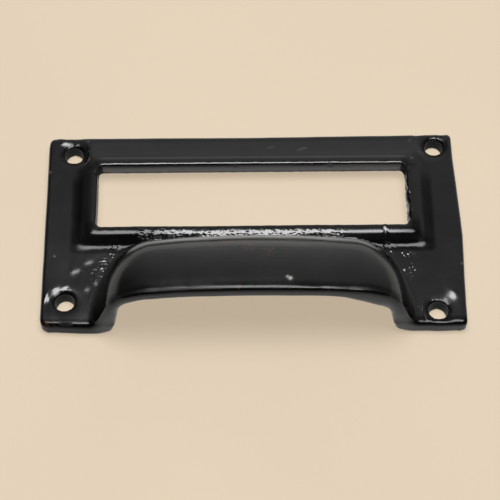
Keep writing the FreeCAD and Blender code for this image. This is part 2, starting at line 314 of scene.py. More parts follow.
# The hollow's right shoulder: how far it hangs down, and where it is.
SHOULDER_DROP = 2.3
SHOULDER_MIDDLE = 28.0
SHOULDER_REACH = 6.0
SHOULDER_FRONT = (-23.0, -17.0)
ROOF_FROM = (8.0, 11.0)
ROOF_FACING = (-0.5, 0.3)

# The hood's lip: where it is, its upright front with the coat that is left there, its worn edge, and
# how rough that is worn from left to right. Then the hood's two ends, which are rubbed less.
LIP_BACK = (-24.8, -23.4)
LIP_FROM = (12.0, 15.0)
LIP_FRONT = (-26.2, -25.9)
LIP_FRONT_COAT = 0.55
LIP_EDGE = (-25.6, -24.7)
LIP_WORN = (
    (-24.0, -17.4, -7.8, -2.0, 8.0, 16.5, 22.0, 26.0),
    (0.7, 0.65, 0.4, 0.0, 0.0, 0.25, 0.6, 0.7),
)
END_RUB = 0.3
END_OUT = (12.0, 26.0)
END_FROM = (7.0, 10.0)

# The plate's two feet: the rubbed front of each, and the bare gap in the left one's edge.
LEFT_FOOT = (-39.0, -34.0)
RIGHT_FOOT = (35.0, 39.0)
RIGHT_FOOT_RUB = 0.4
FEET_FRONT = (-24.8, -24.0)
FEET_TO = (4.4, 5.0)
FEET_EDGE_FROM = (2.9, 3.2)
GAP_MIDDLE = -44.1
GAP_REACH = 1.7
GAP_FRONT = (-25.2, -24.8)

# The frame's rubbed lines: its lower foot, its lower rim with its rub from left to right, and the
# window's wall.
BEVEL_RUB = (0.8, 1.8)
BEVEL_RUB_TO = (12.0, 18.0)
RIM_RUB = (0.8, 1.6)
RIM_RUB_TO = (0.0, 3.0)
RIM_RUBBED = ((-30.0, 30.0, 34.0, 38.0), (0.9, 0.4, 0.5, 1.0))
WALL_RUB = 0.5
WALL_BAND = (0.5, 0.9)
WALL_RUB_TO = (4.4, 4.8)

# The window's bare left wall, and its top corners: bare, and rubbed a little further.
LEFT_WALL = (0.6, 0.9)
LEFT_WALL_TO = (4.6, 5.0)
LEFT_WALL_HEAD = (WINDOW[2], WINDOW[2] + 0.5)
BARE_CORNER = ((WINDOW[0] - 1.4, WINDOW[0] - 0.8), (14.5, 15.5), (0.5, 0.9))
RUBBED_CORNER = ((WINDOW[0] - 1.6, WINDOW[0] - 1.0), (14.0, 15.0), (0.6, 1.0))

# Nicks in the window's edge: centre and reach.
NICKS = [
    ((-4.0, 17.1, 5.5), 0.4),
    ((19.4, 17.1, 5.5), 0.45),
]
NICK_DEPTH = 0.35

# The burr in the window: its height and length, its band, its right side and its share elsewhere.
BURR_HEIGHT = 0.45
BURR_LENGTH = 1.3
BURR_BAND = (0.2, 0.8)
BURR_SIDE = (WINDOW[0] - 1.5, WINDOW[0] - 0.4)
BURR_ELSEWHERE = 0.12

# The skin's waviness: the broad waves' length, and the short waves' length and share of the height.
BROAD_LENGTH = 16.0
SHORT_LENGTH = 5.0
SHORT_SHARE = 0.4

# Where each kind of noise starts, the creased one's octaves and its mean.
WAVE_START = Vector((17.3, 5.1, 9.7))
FLAKE_START = Vector((3.7, 11.9, 6.1))
FLAKE_OCTAVES = 3
FLAKE_MEAN = 0.4

# A mask counts as empty below these, for dividing faces and for working out noise.
DIVIDE_FROM = 0.05
NOISE_FROM = 0.01

# The least reach that anything is divided by.
TINY = 1e-6

# What the lacquer's noises bring: from a low and a high value to the least and the most haze, bloom
# and rust, and the two values between which the gloss changes.
HAZE_SHARE = (0.4, 0.75, 0.0, 0.35)
BLOOM_SHARE = (0.0, 2.0, 0.0, 0.7)
RUST_SHARE = (0.78, 0.95, 0.0, 1.0)
GLOSS_MOTTLE = (0.3, 0.8)

# The room's light, from behind to straight towards its soft bright wall: position and level.
ROOM_LEVELS = [(0.0, 0.03), (0.4, 0.12), (0.76, 0.42), (1.0, 0.68)]

# The floor's finish, and the camera's sensor and nearest distance.
FLOOR_ROUGHNESS = 0.75
FLOOR_CLOUD = (0.3, 0.7, 0.0, 1.0)
FLOOR_CLOUD_SHADE = 0.96
SENSOR_WIDTH = 36.0
CLIP_START = 0.01


def fade(low, high, value):
    """A smooth step from 0 at low to 1 at high."""
    share = np.clip((value - low) / (high - low), 0.0, 1.0)
    return share * share * (3.0 - 2.0 * share)


def fall(low, high, value):
    """A smooth step down from 1 at low to 0 at high."""
    return 1.0 - fade(low, high, value)


def near(close, far, distance):
    """1 closer than the first distance, on either side, and 0 beyond the second."""
    return fall(close, far, np.abs(distance))


def most(*masks):
    """The strongest of several masks."""
    return np.maximum.reduce(masks)


def spot(points, centre, reach):
    """A round mask of 1 at the centre, down to 0 at about twice the reach."""
    offset = points[:, : len(centre)] - np.array(centre)
    return np.exp(-np.sum(offset ** 2, axis=1) / reach ** 2)


def blotches(points, spots):
    """The strongest of several round spots, each with a centre, a reach and a strength."""
    return most(*[strength * spot(points, centre, reach) for centre, reach, strength in spots])


def waves(points, length, seed):
    """Smooth noise from -1 to 1 with the given wave length."""
    start = WAVE_START * seed
    return np.array([noise.noise(Vector(point) / length + start) for point in points])


def flakes(points, length, seed):
    """Sharp creased noise about 0, as broken sand and thick lacquer leave."""
    start = FLAKE_START * seed
    heights = [noise.turbulence(Vector(point) / length + start, FLAKE_OCTAVES, True) for point in points]
    return np.array(heights) - FLAKE_MEAN


def from_rectangle(points, half_width, low, high):
    """Distance in plan from a rectangle's sides, below 0 inside it."""
    across = np.abs(points[:, 0]) - half_width
    along = np.maximum(low - points[:, 1], points[:, 1] - high)
    outside = np.hypot(np.maximum(across, 0.0), np.maximum(along, 0.0))
    return outside + np.minimum(np.maximum(across, along), 0.0)


def from_hole(points, centre, shift=(0.0, 0.0)):
    """Distance in plan from the middle of a screw hole."""
    return np.hypot(points[:, 0] - centre[0] - shift[0], points[:, 1] - centre[1] - shift[1])


# The casting


def fine_solid(voxel):
    """A finely divided copy of the solid, in millimetres."""
    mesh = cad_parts[NODE].data.copy()
    mesh.transform(Matrix.Scale(MM, 4))
    block = bpy.data.objects.new("casting_block", mesh)
    bpy.context.scene.collection.objects.link(block)
    remesh = block.modifiers.new("voxels", "REMESH")
    remesh.mode = "VOXEL"
    remesh.voxel_size = voxel * MM
    shown = block.evaluated_get(bpy.context.evaluated_depsgraph_get())
    fine = bpy.data.meshes.new_from_object(shown)
    bpy.data.objects.remove(block)
    bpy.data.meshes.remove(mesh)
    return fine


def places(mesh):
    """The vertices' places and normals as arrays."""
    points = np.empty(len(mesh.vertices) * 3)
    mesh.vertices.foreach_get("co", points)
    normals = np.empty(len(mesh.vertices) * 3)
    mesh.vertex_normals.foreach_get("vector", normals)
    return points.reshape(-1, 3), normals.reshape(-1, 3)


def place(mesh, points):
    """Put the vertices at the points."""
    mesh.vertices.foreach_set("co", points.ravel())
    mesh.update()


def store(mesh, name, values):
    """Keep a mask on the mesh, for the lacquer's nodes."""
    attribute = mesh.attributes.new(name, "FLOAT", "POINT")
    attribute.data.foreach_set("value", values.astype(np.float32))


def relaxed(mesh, points, weight, rounds):
    """The points drawn towards the middle of their neighbours, as far as the weight allows."""
    ends = np.empty(len(mesh.edges) * 2, dtype=np.int64)
    mesh.edges.foreach_get("vertices", ends)
    first, second = ends.reshape(-1, 2).T
    total = len(points)
    neighbours = np.bincount(ends, minlength=total)[:, None]
    for _ in range(rounds):
        sums = []
        for axis in points.T:
            sums.append(np.bincount(first, axis[second], total) + np.bincount(second, axis[first], total))
        middle = np.stack(sums, axis=1) / neighbours
        points = points + (middle - points) * weight[:, None] * RELAX_STEP
    return points


def on_front(points):
    """1 on the plate and the frame as they are seen from the front, and 0 on the hood and inside."""
    return fade(*FRONT_FROM, points[:, 2]) * fall(*FRONT_TO, points[:, 2])


def soft_edges(points):
    """How far the frame's edges and the spot faces' edges are rounded by the thick lacquer."""
    weight = RIM_ROUND * near(*RIM_BAND, from_rectangle(points, *RIM))
    sight = near(*SIGHT_BAND, from_rectangle(points, *WINDOW)) * fade(*SIGHT_FROM, points[:, 2])
    weight = np.maximum(weight, SIGHT_ROUND * sight)
    for centre, _ in HOLES:
        weight = np.maximum(weight, near(*SPOT_BAND, from_hole(points, centre) - SPOT_RADIUS))
    return weight * on_front(points)


def soft_holes(points):
    """Where the screw holes' front edges are rounded, each on its own side."""
    weight = np.zeros(len(points))
    for (centre, _), (reach, direction) in zip(HOLES, HOLE_ROUNDS):
        offset = points[:, :2] - np.array(centre)
        radius = np.linalg.norm(offset, axis=1)
        edge = near(reach - ROUND_FADE, reach, radius - HOLE_RADIUS)
        angle = math.radians(direction)
        towards = offset @ np.array((math.cos(angle), math.sin(angle)))
        weight = np.maximum(weight, edge * fade(*ROUND_SIDE, towards))
    inside = np.minimum(HALF_WIDTH - np.abs(points[:, 0]), HALF_HEIGHT - np.abs(points[:, 1]))
    return weight * fade(*ROUND_FROM, points[:, 2]) * fade(*ROUND_INSIDE, inside)


def fill_spot_faces(points):
    """Most of the spot faces are filled by the thick lacquer."""
    for (centre, _), share in zip(HOLES, SPOT_SHARES):
        radius = from_hole(points, centre)
        ring = (radius > SPOT_RING[0]) & (radius < SPOT_RING[1])
        sunk = ring & (points[:, 2] > PLATE_TOP - SPOT_DEPTH) & (points[:, 2] < PLATE_TOP)
        points[sunk, 2] += (PLATE_TOP - points[sunk, 2]) * (1.0 - share)
    return points


def soft_legs(points):
    """Where the hood's two legs turn round from the flank to the front without an edge."""
    x, y, z = points.T
    leg = fade(*LEG_OUT, np.abs(x)) * fall(*LEG_FRONT, y)
    return leg * fade(*LEG_FROM, z) * fall(*LEG_TO, z)


def soft_corners(points):
    """Where the frame's corners are round and have no crisp mitre."""
    half_width = (RIM[0] + BEVEL_FOOT[0]) / 2
    heights = ((RIM[1] + BEVEL_FOOT[1]) / 2, RIM[2])
    weight = np.zeros(len(points))
    for x in (-half_width, half_width):
        for y, reach in zip(heights, CORNER_REACHES):
            weight = np.maximum(weight, spot(points, (x, y), reach))
    return weight * on_front(points) * fade(*SIGHT_BAND, from_rectangle(points, *WINDOW))


def sill_mask(points):
    """The rough sill between the window and the hood."""
    x, y = points[:, 0], points[:, 1]
    start, end = SILL_ENDS
    along = fade(start - SILL_END_FADE, start + SILL_END_FADE, x)
    along = along * fall(end - SILL_END_FADE, end + SILL_END_FADE, x)
    low, high = np.interp(x, SILL_ENDS, SILL_LOW), np.interp(x, SILL_ENDS, SILL_HIGH)
    across = fade(low - SILL_EDGE_FADE, low, y) * fall(high, high + SILL_EDGE_FADE, y)
    return along * across * on_front(points)


def from_sight_edge(points):
    """Distance up the plate from the window's top sight edge."""
    return points[:, 1] - WINDOW[2] + WINDOW_TOP[0]


def sight_line(points):
    """The window's top sight edge, which stays crisp under the lacquer."""
    return near(*SIGHT_LINE, from_sight_edge(points)) * fade(*SIGHT_LINE_FROM, points[:, 2])


def grain_mask(points, normals):
    """Where the sand grain of the mould shows through the lacquer beside the hood."""
    patches = np.zeros(len(points))
    for centre, reach, strength in GRAIN_PATCHES:
        patches = np.maximum(patches, strength * fade(*GRAIN_EDGE, spot(points, centre, reach)))
    return patches * fade(*GRAIN_FACING, normals[:, 2]) * on_front(points)


def speck_mask(points):
    """The chipped specks and the scratches in the lacquer."""
    mask = blotches(points, CHIPS)
    for start, end in SCRATCHES:
        start, run = np.array(start), np.array(end) - np.array(start)
        share = np.clip((points[:, :2] - start) @ run / (run @ run), 0.0, 1.0)
        distance = np.linalg.norm(points[:, :2] - start - share[:, None] * run, axis=1)
        line = SCRATCH_STRENGTH * np.exp(-(distance / SCRATCH_WIDTH) ** 2)
        mask = np.maximum(mask, line * on_front(points))
    return mask


def divide(mesh, mask):
    """Halve the faces' edges where the mask isn't empty."""
    cage = bmesh.new()
    cage.from_mesh(mesh)
    rough = [face for face in cage.faces if max(mask[corner.index] for corner in face.verts) > DIVIDE_FROM]
    edges = {edge for face in rough for edge in face.edges}
    ordered = sorted(edges, key=lambda edge: edge.index)
    bmesh.ops.subdivide_edges(cage, edges=ordered, cuts=1, use_grid_fill=True)
    cage.to_mesh(mesh)
    cage.free()
    mesh.update()


def drill_holes_by_hand(points):
    """Shift each hole a little, as the hand drill left it, and narrow it towards the back."""
    depth = fall(0.0, PLATE_TOP, points[:, 2])
    for (centre, shift), slant in zip(HOLES, HOLE_SLANTS):
        offset = points[:, :2] - np.array(centre)
        radius = np.linalg.norm(offset, axis=1)
        beyond = radius - HOLE_RADIUS
        true_radius = HOLE_RADIUS + beyond * fade(*HOLE_TRUE, beyond)
        offset *= (true_radius / radius)[:, None]
        points[:, :2] = np.array(centre) + offset
        wall = fall(*HOLE_TAPER_REACH, true_radius)
        points[:, :2] -= offset * (HOLE_TAPER * depth * wall / true_radius)[:, None]
        points[:, 1] -= slant * depth * wall
        points[:, :2] += fall(*HOLE_SHIFT_REACH, true_radius)[:, None] * np.array(shift)
    return points


def uneven_hollow(points, normals):
    """The legs' inner sides stand a little steeper below, and the hollow's right shoulder hangs lower."""
    low = fall(*LEAN_TO, points[:, 2]) * fall(*LEAN_FRONT, points[:, 1])
    for side in (-1.0, 1.0):
        across = side * points[:, 0]
        inner = fade(*LEAN_INNER, across) * fall(*LEAN_OUTER, across)
        inner = inner * fall(*LEAN_FACING, side * normals[:, 0])
        points[:, 0] -= side * LEG_LEAN * inner * low
    shoulder = np.exp(-((points[:, 0] - SHOULDER_MIDDLE) / SHOULDER_REACH) ** 2)
    roof = fade(*ROOF_FROM, points[:, 2]) * fall(*ROOF_FACING, normals[:, 2])
    points[:, 2] -= SHOULDER_DROP * shoulder * roof * fall(*SHOULDER_FRONT, points[:, 1])
    return points


def square_corners(points):
    """Draw the plate's round corners out to the squarer ones of the casting."""
    middle = np.array((HALF_WIDTH, HALF_HEIGHT)) - PLATE_CORNER
    offset = np.maximum(np.abs(points[:, :2]) - middle, 0.0)
    round_reach = np.linalg.norm(offset, axis=1)
    square_reach = np.sum(offset ** SQUARENESS, axis=1) ** (1.0 / SQUARENESS)
    stretch = np.maximum(round_reach / np.maximum(square_reach, TINY) - 1.0, 0.0)
    left_share = np.where(points[:, 1] < 0.0, *LEFT_CORNER_SHARES)
    stretch = stretch * np.where(points[:, 0] < 0.0, left_share, 1.0)
    points[:, :2] += np.sign(points[:, :2]) * offset * stretch[:, None]
    return points


def lip_mask(points):
    """The hood's lip, with its edge and its front."""
    return fall(*LIP_BACK, points[:, 1]) * fade(*LIP_FROM, points[:, 2])


def lip_front(points):
    """The lip's upright front alone."""
    return lip_mask(points) * fall(*LIP_FRONT, points[:, 1])


def leg_mask(points):
    """The outer front edge of each leg, from the plate up to under the lip."""
    x, y, z = points.T
    beside = fade(*LEG_EDGE, np.abs(x) - HOOD_HALF_WIDTH + HOOD_SLOPE * (z - PLATE_TOP))
    return beside * fall(*LEG_EDGE_FRONT, y) * fade(*LEG_EDGE_FROM, z) * fall(*LEG_EDGE_TO, z)


def window_corners(points, out, up, beside):
    """The window's two top corners, by the steps outwards, upwards and away from the opening."""
    corner = fade(*out, np.abs(points[:, 0])) * fade(*up, points[:, 1])
    return corner * fall(*beside, from_rectangle(points, *WINDOW))


def raw_mask(points):
    """Where the skin is rough: a gap in the left foot's edge, the window's left wall and top corners,
    the legs' edges, the worn lip and the walls of the screw holes."""
    x, y, z = points.T
    gap = np.exp(-((x - GAP_MIDDLE) / GAP_REACH) ** 4)
    gap = gap * fall(*GAP_FRONT, y) * fade(*FEET_EDGE_FROM, z)
    left = fall(*LEFT_WALL, np.hypot(x + WINDOW[0], np.maximum(WINDOW[1] - y, 0.0)))
    left = left * fall(*LEFT_WALL_HEAD, y) * fall(*LEFT_WALL_TO, z)
    corner = window_corners(points, *BARE_CORNER)
    worn = lip_mask(points) * fall(*LIP_EDGE, y) * (1.0 - lip_front(points))
    mask = most(gap, corner, left, LEG_RAW * leg_mask(points), worn * np.interp(x, *LIP_WORN))
    for centre, shift in HOLES:
        inside = fall(*HOLE_BARE, from_hole(points, centre, shift))
        mask = np.maximum(mask, inside * fall(*HOLE_WALL_TO, z))
    return mask


def uneven_outline(points):
    """The plate's sides, top and bottom stand off the straight outline, clear of the screw holes."""
    free = np.ones(len(points))
    for centre, _ in HOLES:
        free = np.minimum(free, fade(*HOLE_HELD, from_hole(points, centre)))
    right = fade(*SIDE_BORDER, points[:, 0])
    points[:, 0] += np.interp(points[:, 1], *RIGHT_LEAN) * right * free
    points[:, 0] -= LEFT_SWELL * fade(*SIDE_BORDER, -points[:, 0]) * free
    high = fade(*TOP_BORDER, points[:, 1])
    low = fall(*LOW_BORDER, points[:, 1])
    rise = np.interp(points[:, 0], *TOP_RISE) * high - np.interp(points[:, 0], *LOW_DROP) * low
    points[:, 1] += rise * free
    return points


def drawn_in(front, at_front, at_back):
    """How far an edge of the window stands in, from its back to its front."""
    return at_back + (at_front - at_back) * front


def draw_in_window(points):
    """The window narrows a little towards the front, the frame's lower foot lies a little higher, and
    its top land has a small step and a lean."""
    x, y, z = points.T
    beside = fall(*WINDOW_BESIDE, np.maximum(from_rectangle(points, *WINDOW), 0.0))
    front = fade(*WINDOW_FRONT, z) * fall(*WINDOW_FRONT_TO, z)
    top = beside * fade(*WINDOW_EDGE, y - WINDOW[2])
    low = beside * fade(*WINDOW_EDGE, WINDOW[1] - y) * (z < WINDOW_FRONT_TO[1])
    foot = np.exp(-((y - BEVEL_FOOT[1]) / FOOT_REACH) ** 2)
    foot = foot * fade(*FOOT_CLEAR, np.abs(x)) * on_front(points)
    moved = points.copy()
    moved[:, 1] -= top * drawn_in(front, *WINDOW_TOP)
    moved[:, 1] += low * drawn_in(front, *WINDOW_LOW)
    moved[:, 1] += foot * np.interp(x, *FOOT_RISE)
    land = fall(*LAND_SIDE, np.abs(x)) * fade(*LAND_LOW, y) * fade(*LAND_FROM, z)
    moved[:, 2] += land * (LAND_STEP * fall(*LAND_STEP_TO, y) + LAND_LEAN * fall(*LAND_LEAN_TO, y))
    return moved


def facet_mask(points, edge):
    """The facets that catch the light, out to the given share of their round spots."""
    mask = np.zeros(len(points))
    for centre, (long, _), _, _ in GLINTS:
        mask = np.maximum(mask, fade(*edge, spot(points, centre, long)))
    return mask * on_front(points)


def facets(points):
    """Height of the smooth facets that catch the light."""
    height = np.zeros(len(points))
    for centre, (long, short), direction, slope in GLINTS:
        x, y = (points[:, :2] - np.array(centre)).T
        cos, sin = math.cos(math.radians(direction)), math.sin(math.radians(direction))
        across = (cos / long) ** 2 + (sin / short) ** 2
        skew = cos * sin * (long ** -2 - short ** -2)
        up = (sin / long) ** 2 + (cos / short) ** 2
        rise = np.tanh(FACET_TURN * math.sqrt(up) * (y + skew / up * x)) / math.sqrt(up)
        ends = ((across - skew ** 2 / up) * x ** 2) ** 2
        height += slope * rise * np.exp(-ends - (y / FACET_FADE) ** 2)
    return height


def worked_out(points, mask, heights):
    """Heights worked out only where the mask isn't empty, and scaled by it."""
    result = np.zeros(len(points))
    chosen = np.flatnonzero(mask > NOISE_FROM)
    result[chosen] = heights(points[chosen]) * mask[chosen]
    return result


def hole_edges(points):
    """The screw holes and the rubbed rings round them."""
    mask = np.zeros(len(points))
    for centre, shift in HOLES:
        radius = from_hole(points, centre, shift)
        wall = fall(*HOLE_WALL, radius) * fall(*HOLE_WALL_TO, points[:, 2])
        mask = np.maximum(mask, fall(*HOLE_RUBBED, radius) * (1.0 - HOLE_GLOSS * wall))
    return mask


def rubbed_hood(points):
    """Where the lip, the hood's ends, the feet and the legs' edges are rubbed dull."""
    x, y, z = points.T
    lip = lip_mask(points) * (1.0 - LIP_FRONT_COAT * lip_front(points))
    ends = END_RUB * fade(*END_OUT, np.abs(x)) * fade(*END_FROM, z)
    right = np.maximum(RIGHT_FOOT_RUB, fade(*FEET_EDGE_FROM, z)) * fade(*RIGHT_FOOT, x)
    feet = np.maximum(fall(*LEFT_FOOT, x), right) * fall(*FEET_FRONT, y) * fall(*FEET_TO, z)
    return most(lip, ends, feet, leg_mask(points))


def rubbed_frame(points):
    """Where the frame's lower foot and rim, its sight edge, and the window's walls and top corners are
    rubbed dull."""
    x, y, z = points.T
    foot = near(*BEVEL_RUB, from_rectangle(points, *BEVEL_FOOT)) * fall(*BEVEL_RUB_TO, y)
    rim = near(*RIM_RUB, from_rectangle(points, *RIM)) * fall(*RIM_RUB_TO, y)
    rim = rim * np.interp(x, *RIM_RUBBED)
    sight = near(*SIGHT_RUB, from_sight_edge(points)) * fade(*SIGHT_RUB_FROM, z)
    sight = sight * np.interp(x, *SIGHT_RUBBED)
    wall = WALL_RUB * near(*WALL_BAND, from_rectangle(points, *WINDOW)) * fall(*WALL_RUB_TO, z)
    corner = window_corners(points, *RUBBED_CORNER)
    return most(foot, rim, sight, corner, wall) * fall(*FRONT_TO, z)


def sill_flakes(points):
    """Height of the flaky lacquer on the sill."""
    stretched = points / np.array(SILL_STRETCH)
    (flake, flake_length), (wave, wave_length) = SILL_FLAKE, SILL_WAVE
    height = flake * flakes(stretched, flake_length, seed=1) + wave * waves(stretched, wave_length, seed=2)
    return height * np.interp(points[:, 0], *SILL_STRENGTH)


def sand_specks(points):
    """Height of the coarse sand grain beside the hood."""
    (flake, flake_length), (wave, wave_length) = SAND_FLAKE, SAND_WAVE
    height = flake * flakes(points, flake_length, seed=3) + wave * waves(points, wave_length, seed=4)
    return height * fade(*SAND_SCATTER, waves(points, SAND_SCATTER_LENGTH, seed=6))


def window_burr(points):
    """Flash left on the window's right side, and a little unevenness on its other edges."""
    right = fade(*BURR_SIDE, points[:, 0])
    share = BURR_ELSEWHERE + (1.0 - BURR_ELSEWHERE) * right
    return near(*BURR_BAND, from_rectangle(points, *WINDOW)) * share


def burr_waves(points):
    """Height of the burr in the window."""
    return BURR_HEIGHT * waves(points, BURR_LENGTH, seed=7)


def softened(mesh, settings):
    """The solid's points as thick lacquer leaves them, with every edge rounded in its own way."""
    points, _ = places(mesh)
    points = fill_spot_faces(points)
    everywhere = np.ones(len(points))
    points = relaxed(mesh, points, everywhere, settings.soften_passes)
    points = relaxed(mesh, points, -SWELL_BACK * everywhere, settings.soften_passes)
    points = relaxed(mesh, points, soft_corners(points), settings.corner_passes)
    points = relaxed(mesh, points, soft_edges(points), settings.edge_passes)
    points = relaxed(mesh, points, soft_holes(points), settings.hole_passes)
    points = relaxed(mesh, points, soft_legs(points), settings.leg_passes)
    return draw_in_window(points)


def divide_detail(mesh):
    """Halve the faces where grain, sill, specks, facets and the sight edge need finer ones."""
    points, normals = places(mesh)
    rough = most(grain_mask(points, normals), sill_mask(points), speck_mask(points))
    divide(mesh, most(rough, facet_mask(points, FACET_AREA), sight_line(points)))


def roughness(points, normals, settings):
    """How far the skin stands out: waviness, flaky sill, sand grain and burr, less the nicks."""
    waviness = settings.waviness * MM
    offset = waves(points, BROAD_LENGTH, seed=1) * waviness
    offset += waves(points, SHORT_LENGTH, seed=2) * waviness * SHORT_SHARE
    offset += worked_out(points, sill_mask(points), sill_flakes) * settings.sill_roughness
    offset += worked_out(points, grain_mask(points, normals), sand_specks) * settings.grain_roughness
    offset += worked_out(points, window_burr(points), burr_waves)
    for centre, reach in NICKS:
        offset -= NICK_DEPTH * spot(points, centre, reach)
    return offset


def shape_casting(settings):
    """The casting's mesh in metres, with the masks that its lacquer reads."""
    mesh = fine_solid(settings.voxel)
    place(mesh, softened(mesh, settings))
    divide_detail(mesh)
    points, normals = places(mesh)
    smooth = facet_mask(points, FACET_AREA) * (1.0 - np.minimum(grain_mask(points, normals), 1.0))
    glossy_sill = sill_mask(points) * fade(*SILL_GLOSSY, points[:, 0])
    bright = np.maximum(glossy_sill, facet_mask(points, FACET_HEART))
    points += normals * roughness(points, normals, settings)[:, None]
    points[:, 2] += facets(points) * fade(*FACET_FACING, normals[:, 2]) * on_front(points)
    points = relaxed(mesh, points, smooth, settings.facet_passes)
    points = uneven_hollow(points, normals)
    points = uneven_outline(square_corners(points))
    points = drill_holes_by_hand(points)
    place(mesh, points)
    rubbed = np.maximum(rubbed_hood(points), rubbed_frame(points))
    store(mesh, "dull", np.maximum(rubbed * (1.0 - bright), hole_edges(points)))
    store(mesh, "rust", blotches(points, RUST_SPOTS))
    store(mesh, "raw", raw_mask(points))
    store(mesh, "chip", speck_mask(points))
    mesh.transform(Matrix.Scale(1.0 / MM, 4))
    mesh.shade_smooth()
    return mesh


# The lacquer


def add_node(tree, kind, **inputs):
    """A node with some of its inputs set, by the inputs' names with _ for a space."""
    node = tree.nodes.new(kind)
    for name, value in inputs.items():
        node.inputs[name.replace("_", " ")].default_value = value
    return node


def mixed(tree, share, first, second):
    """A colour mixed from two by a share that another node puts out."""
    node = tree.nodes.new("ShaderNodeMix")
    node.data_type = "RGBA"
    tree.links.new(share, node.inputs["Factor"])
    for socket, value in ((node.inputs[6], first), (node.inputs[7], second)):
        if isinstance(value, bpy.types.NodeSocket):
            tree.links.new(value, socket)
        else:
            socket.default_value = (*value, 1.0)
    return node.outputs[2]


def ranged(tree, value, low, high, new_low, new_high):
    """A value brought from one range to another."""
    node = tree.nodes.new("ShaderNodeMapRange")
    for socket, number in zip(node.inputs[1:5], (low, high, new_low, new_high)):
        socket.default_value = number
    tree.links.new(value, node.inputs[0])
    return node.outputs[0]


def combined(tree, operation, first, second):
    """Two values put together by a math node."""
    node = tree.nodes.new("ShaderNodeMath")
    node.operation = operation
    tree.links.new(first, node.inputs[0])
    tree.links.new(second, node.inputs[1])
    return node.outputs[0]


def mask_from(tree, name):
    """A mask that is kept on the mesh."""
    node = tree.nodes.new("ShaderNodeAttribute")
    node.attribute_name = name
    return node.outputs["Fac"]


def noise_over(tree, **inputs):
    """The value of a noise over the surface, with some of the noise's inputs set."""
    node = add_node(tree, "ShaderNodeTexNoise", **inputs)
    where = tree.nodes.new("ShaderNodeTexCoord").outputs["Object"]
    tree.links.new(where, node.inputs["Vector"])
    return node.outputs["Fac"]


def lacquer(settings):
    """Black lacquer over rough iron, with mottling, rust bloom and bare chips."""
    material = bpy.data.materials.new("black_lacquer_on_iron")
    material.use_nodes = True
    tree = material.node_tree
    shader = tree.nodes["Principled BSDF"]
    mottle = noise_over(tree, Scale=140.0, Detail=4.0, Roughness=0.6)
    haze = ranged(tree, mottle, *HAZE_SHARE)
    colour = mixed(tree, haze, settings.lacquer_colour, settings.haze_colour)
    fleck = noise_over(tree, Scale=1500.0, Detail=2.0, Roughness=0.6)
    bloom = ranged(tree, mask_from(tree, "rust"), *BLOOM_SHARE)
    rust = ranged(tree, combined(tree, "ADD", fleck, bloom), *RUST_SHARE)
    colour = mixed(tree, rust, colour, settings.rust_colour)
    colour = mixed(tree, mask_from(tree, "chip"), colour, settings.iron_colour)
    tree.links.new(colour, shader.inputs["Base Color"])
    gloss = ranged(tree, mottle, *GLOSS_MOTTLE, settings.gloss_low, settings.gloss_high)
    raw = ranged(tree, mask_from(tree, "raw"), 0.0, 1.0, 0.0, settings.raw_roughness)
    tree.links.new(combined(tree, "MAXIMUM", gloss, raw), shader.inputs["Roughness"])
    shader.inputs["Specular IOR Level"].default_value = settings.rubbed_sheen
    shader.inputs["Coat Roughness"].default_value = settings.coat_roughness
    coat = ranged(tree, mask_from(tree, "dull"), 0.0, 1.0, settings.coat, 0.0)
    tree.links.new(coat, shader.inputs["Coat Weight"])
    bump = add_node(tree, "ShaderNodeBump", Strength=0.06, Distance=0.0002)
    peel = noise_over(tree, Scale=900.0, Detail=3.0, Roughness=0.5)
    tree.links.new(peel, bump.inputs["Height"])
    tree.links.new(bump.outputs["Normal"], shader.inputs["Normal"])
    return material


# The stage


def studio_world(settings):
    """A dim room that is brightest towards one soft wall, and pale behind the stage."""
    world = bpy.data.worlds.new("studio")
    world.use_nodes = True
    tree = world.node_tree
    tree.nodes.clear()
    where = tree.nodes.new("ShaderNodeTexCoord").outputs["Generated"]
    towards = tree.nodes.new("ShaderNodeVectorMath")
    towards.operation = "DOT_PRODUCT"
    tree.links.new(where, towards.inputs[0])
    towards.inputs[1].default_value = Vector(settings.wall_direction).normalized()
    ramp = tree.nodes.new("ShaderNodeValToRGB")
    while len(ramp.color_ramp.elements) < len(ROOM_LEVELS):
        ramp.color_ramp.elements.new(0.5)
    for element, (position, level) in zip(ramp.color_ramp.elements, ROOM_LEVELS):
        element.position = position
        element.color = (level, level, level, 1.0)
    tree.links.new(towards.outputs["Value"], ramp.inputs["Fac"])
    room = tree.nodes.new("ShaderNodeBackground")
    tree.links.new(ramp.outputs["Color"], room.inputs["Color"])
    pale = tree.nodes.new("ShaderNodeBackground")
    pale.inputs["Color"].default_value = (*settings.backdrop_colour, 1.0)
    seen = tree.nodes.new("ShaderNodeLightPath").outputs["Is Camera Ray"]
    either = tree.nodes.new("ShaderNodeMixShader")
    tree.links.new(seen, either.inputs["Fac"])
    tree.links.new(room.outputs["Background"], either.inputs[1])
    tree.links.new(pale.outputs["Background"], either.inputs[2])
    out = tree.nodes.new("ShaderNodeOutputWorld")
    tree.links.new(either.outputs["Shader"], out.inputs["Surface"])
    bpy.context.scene.world = world


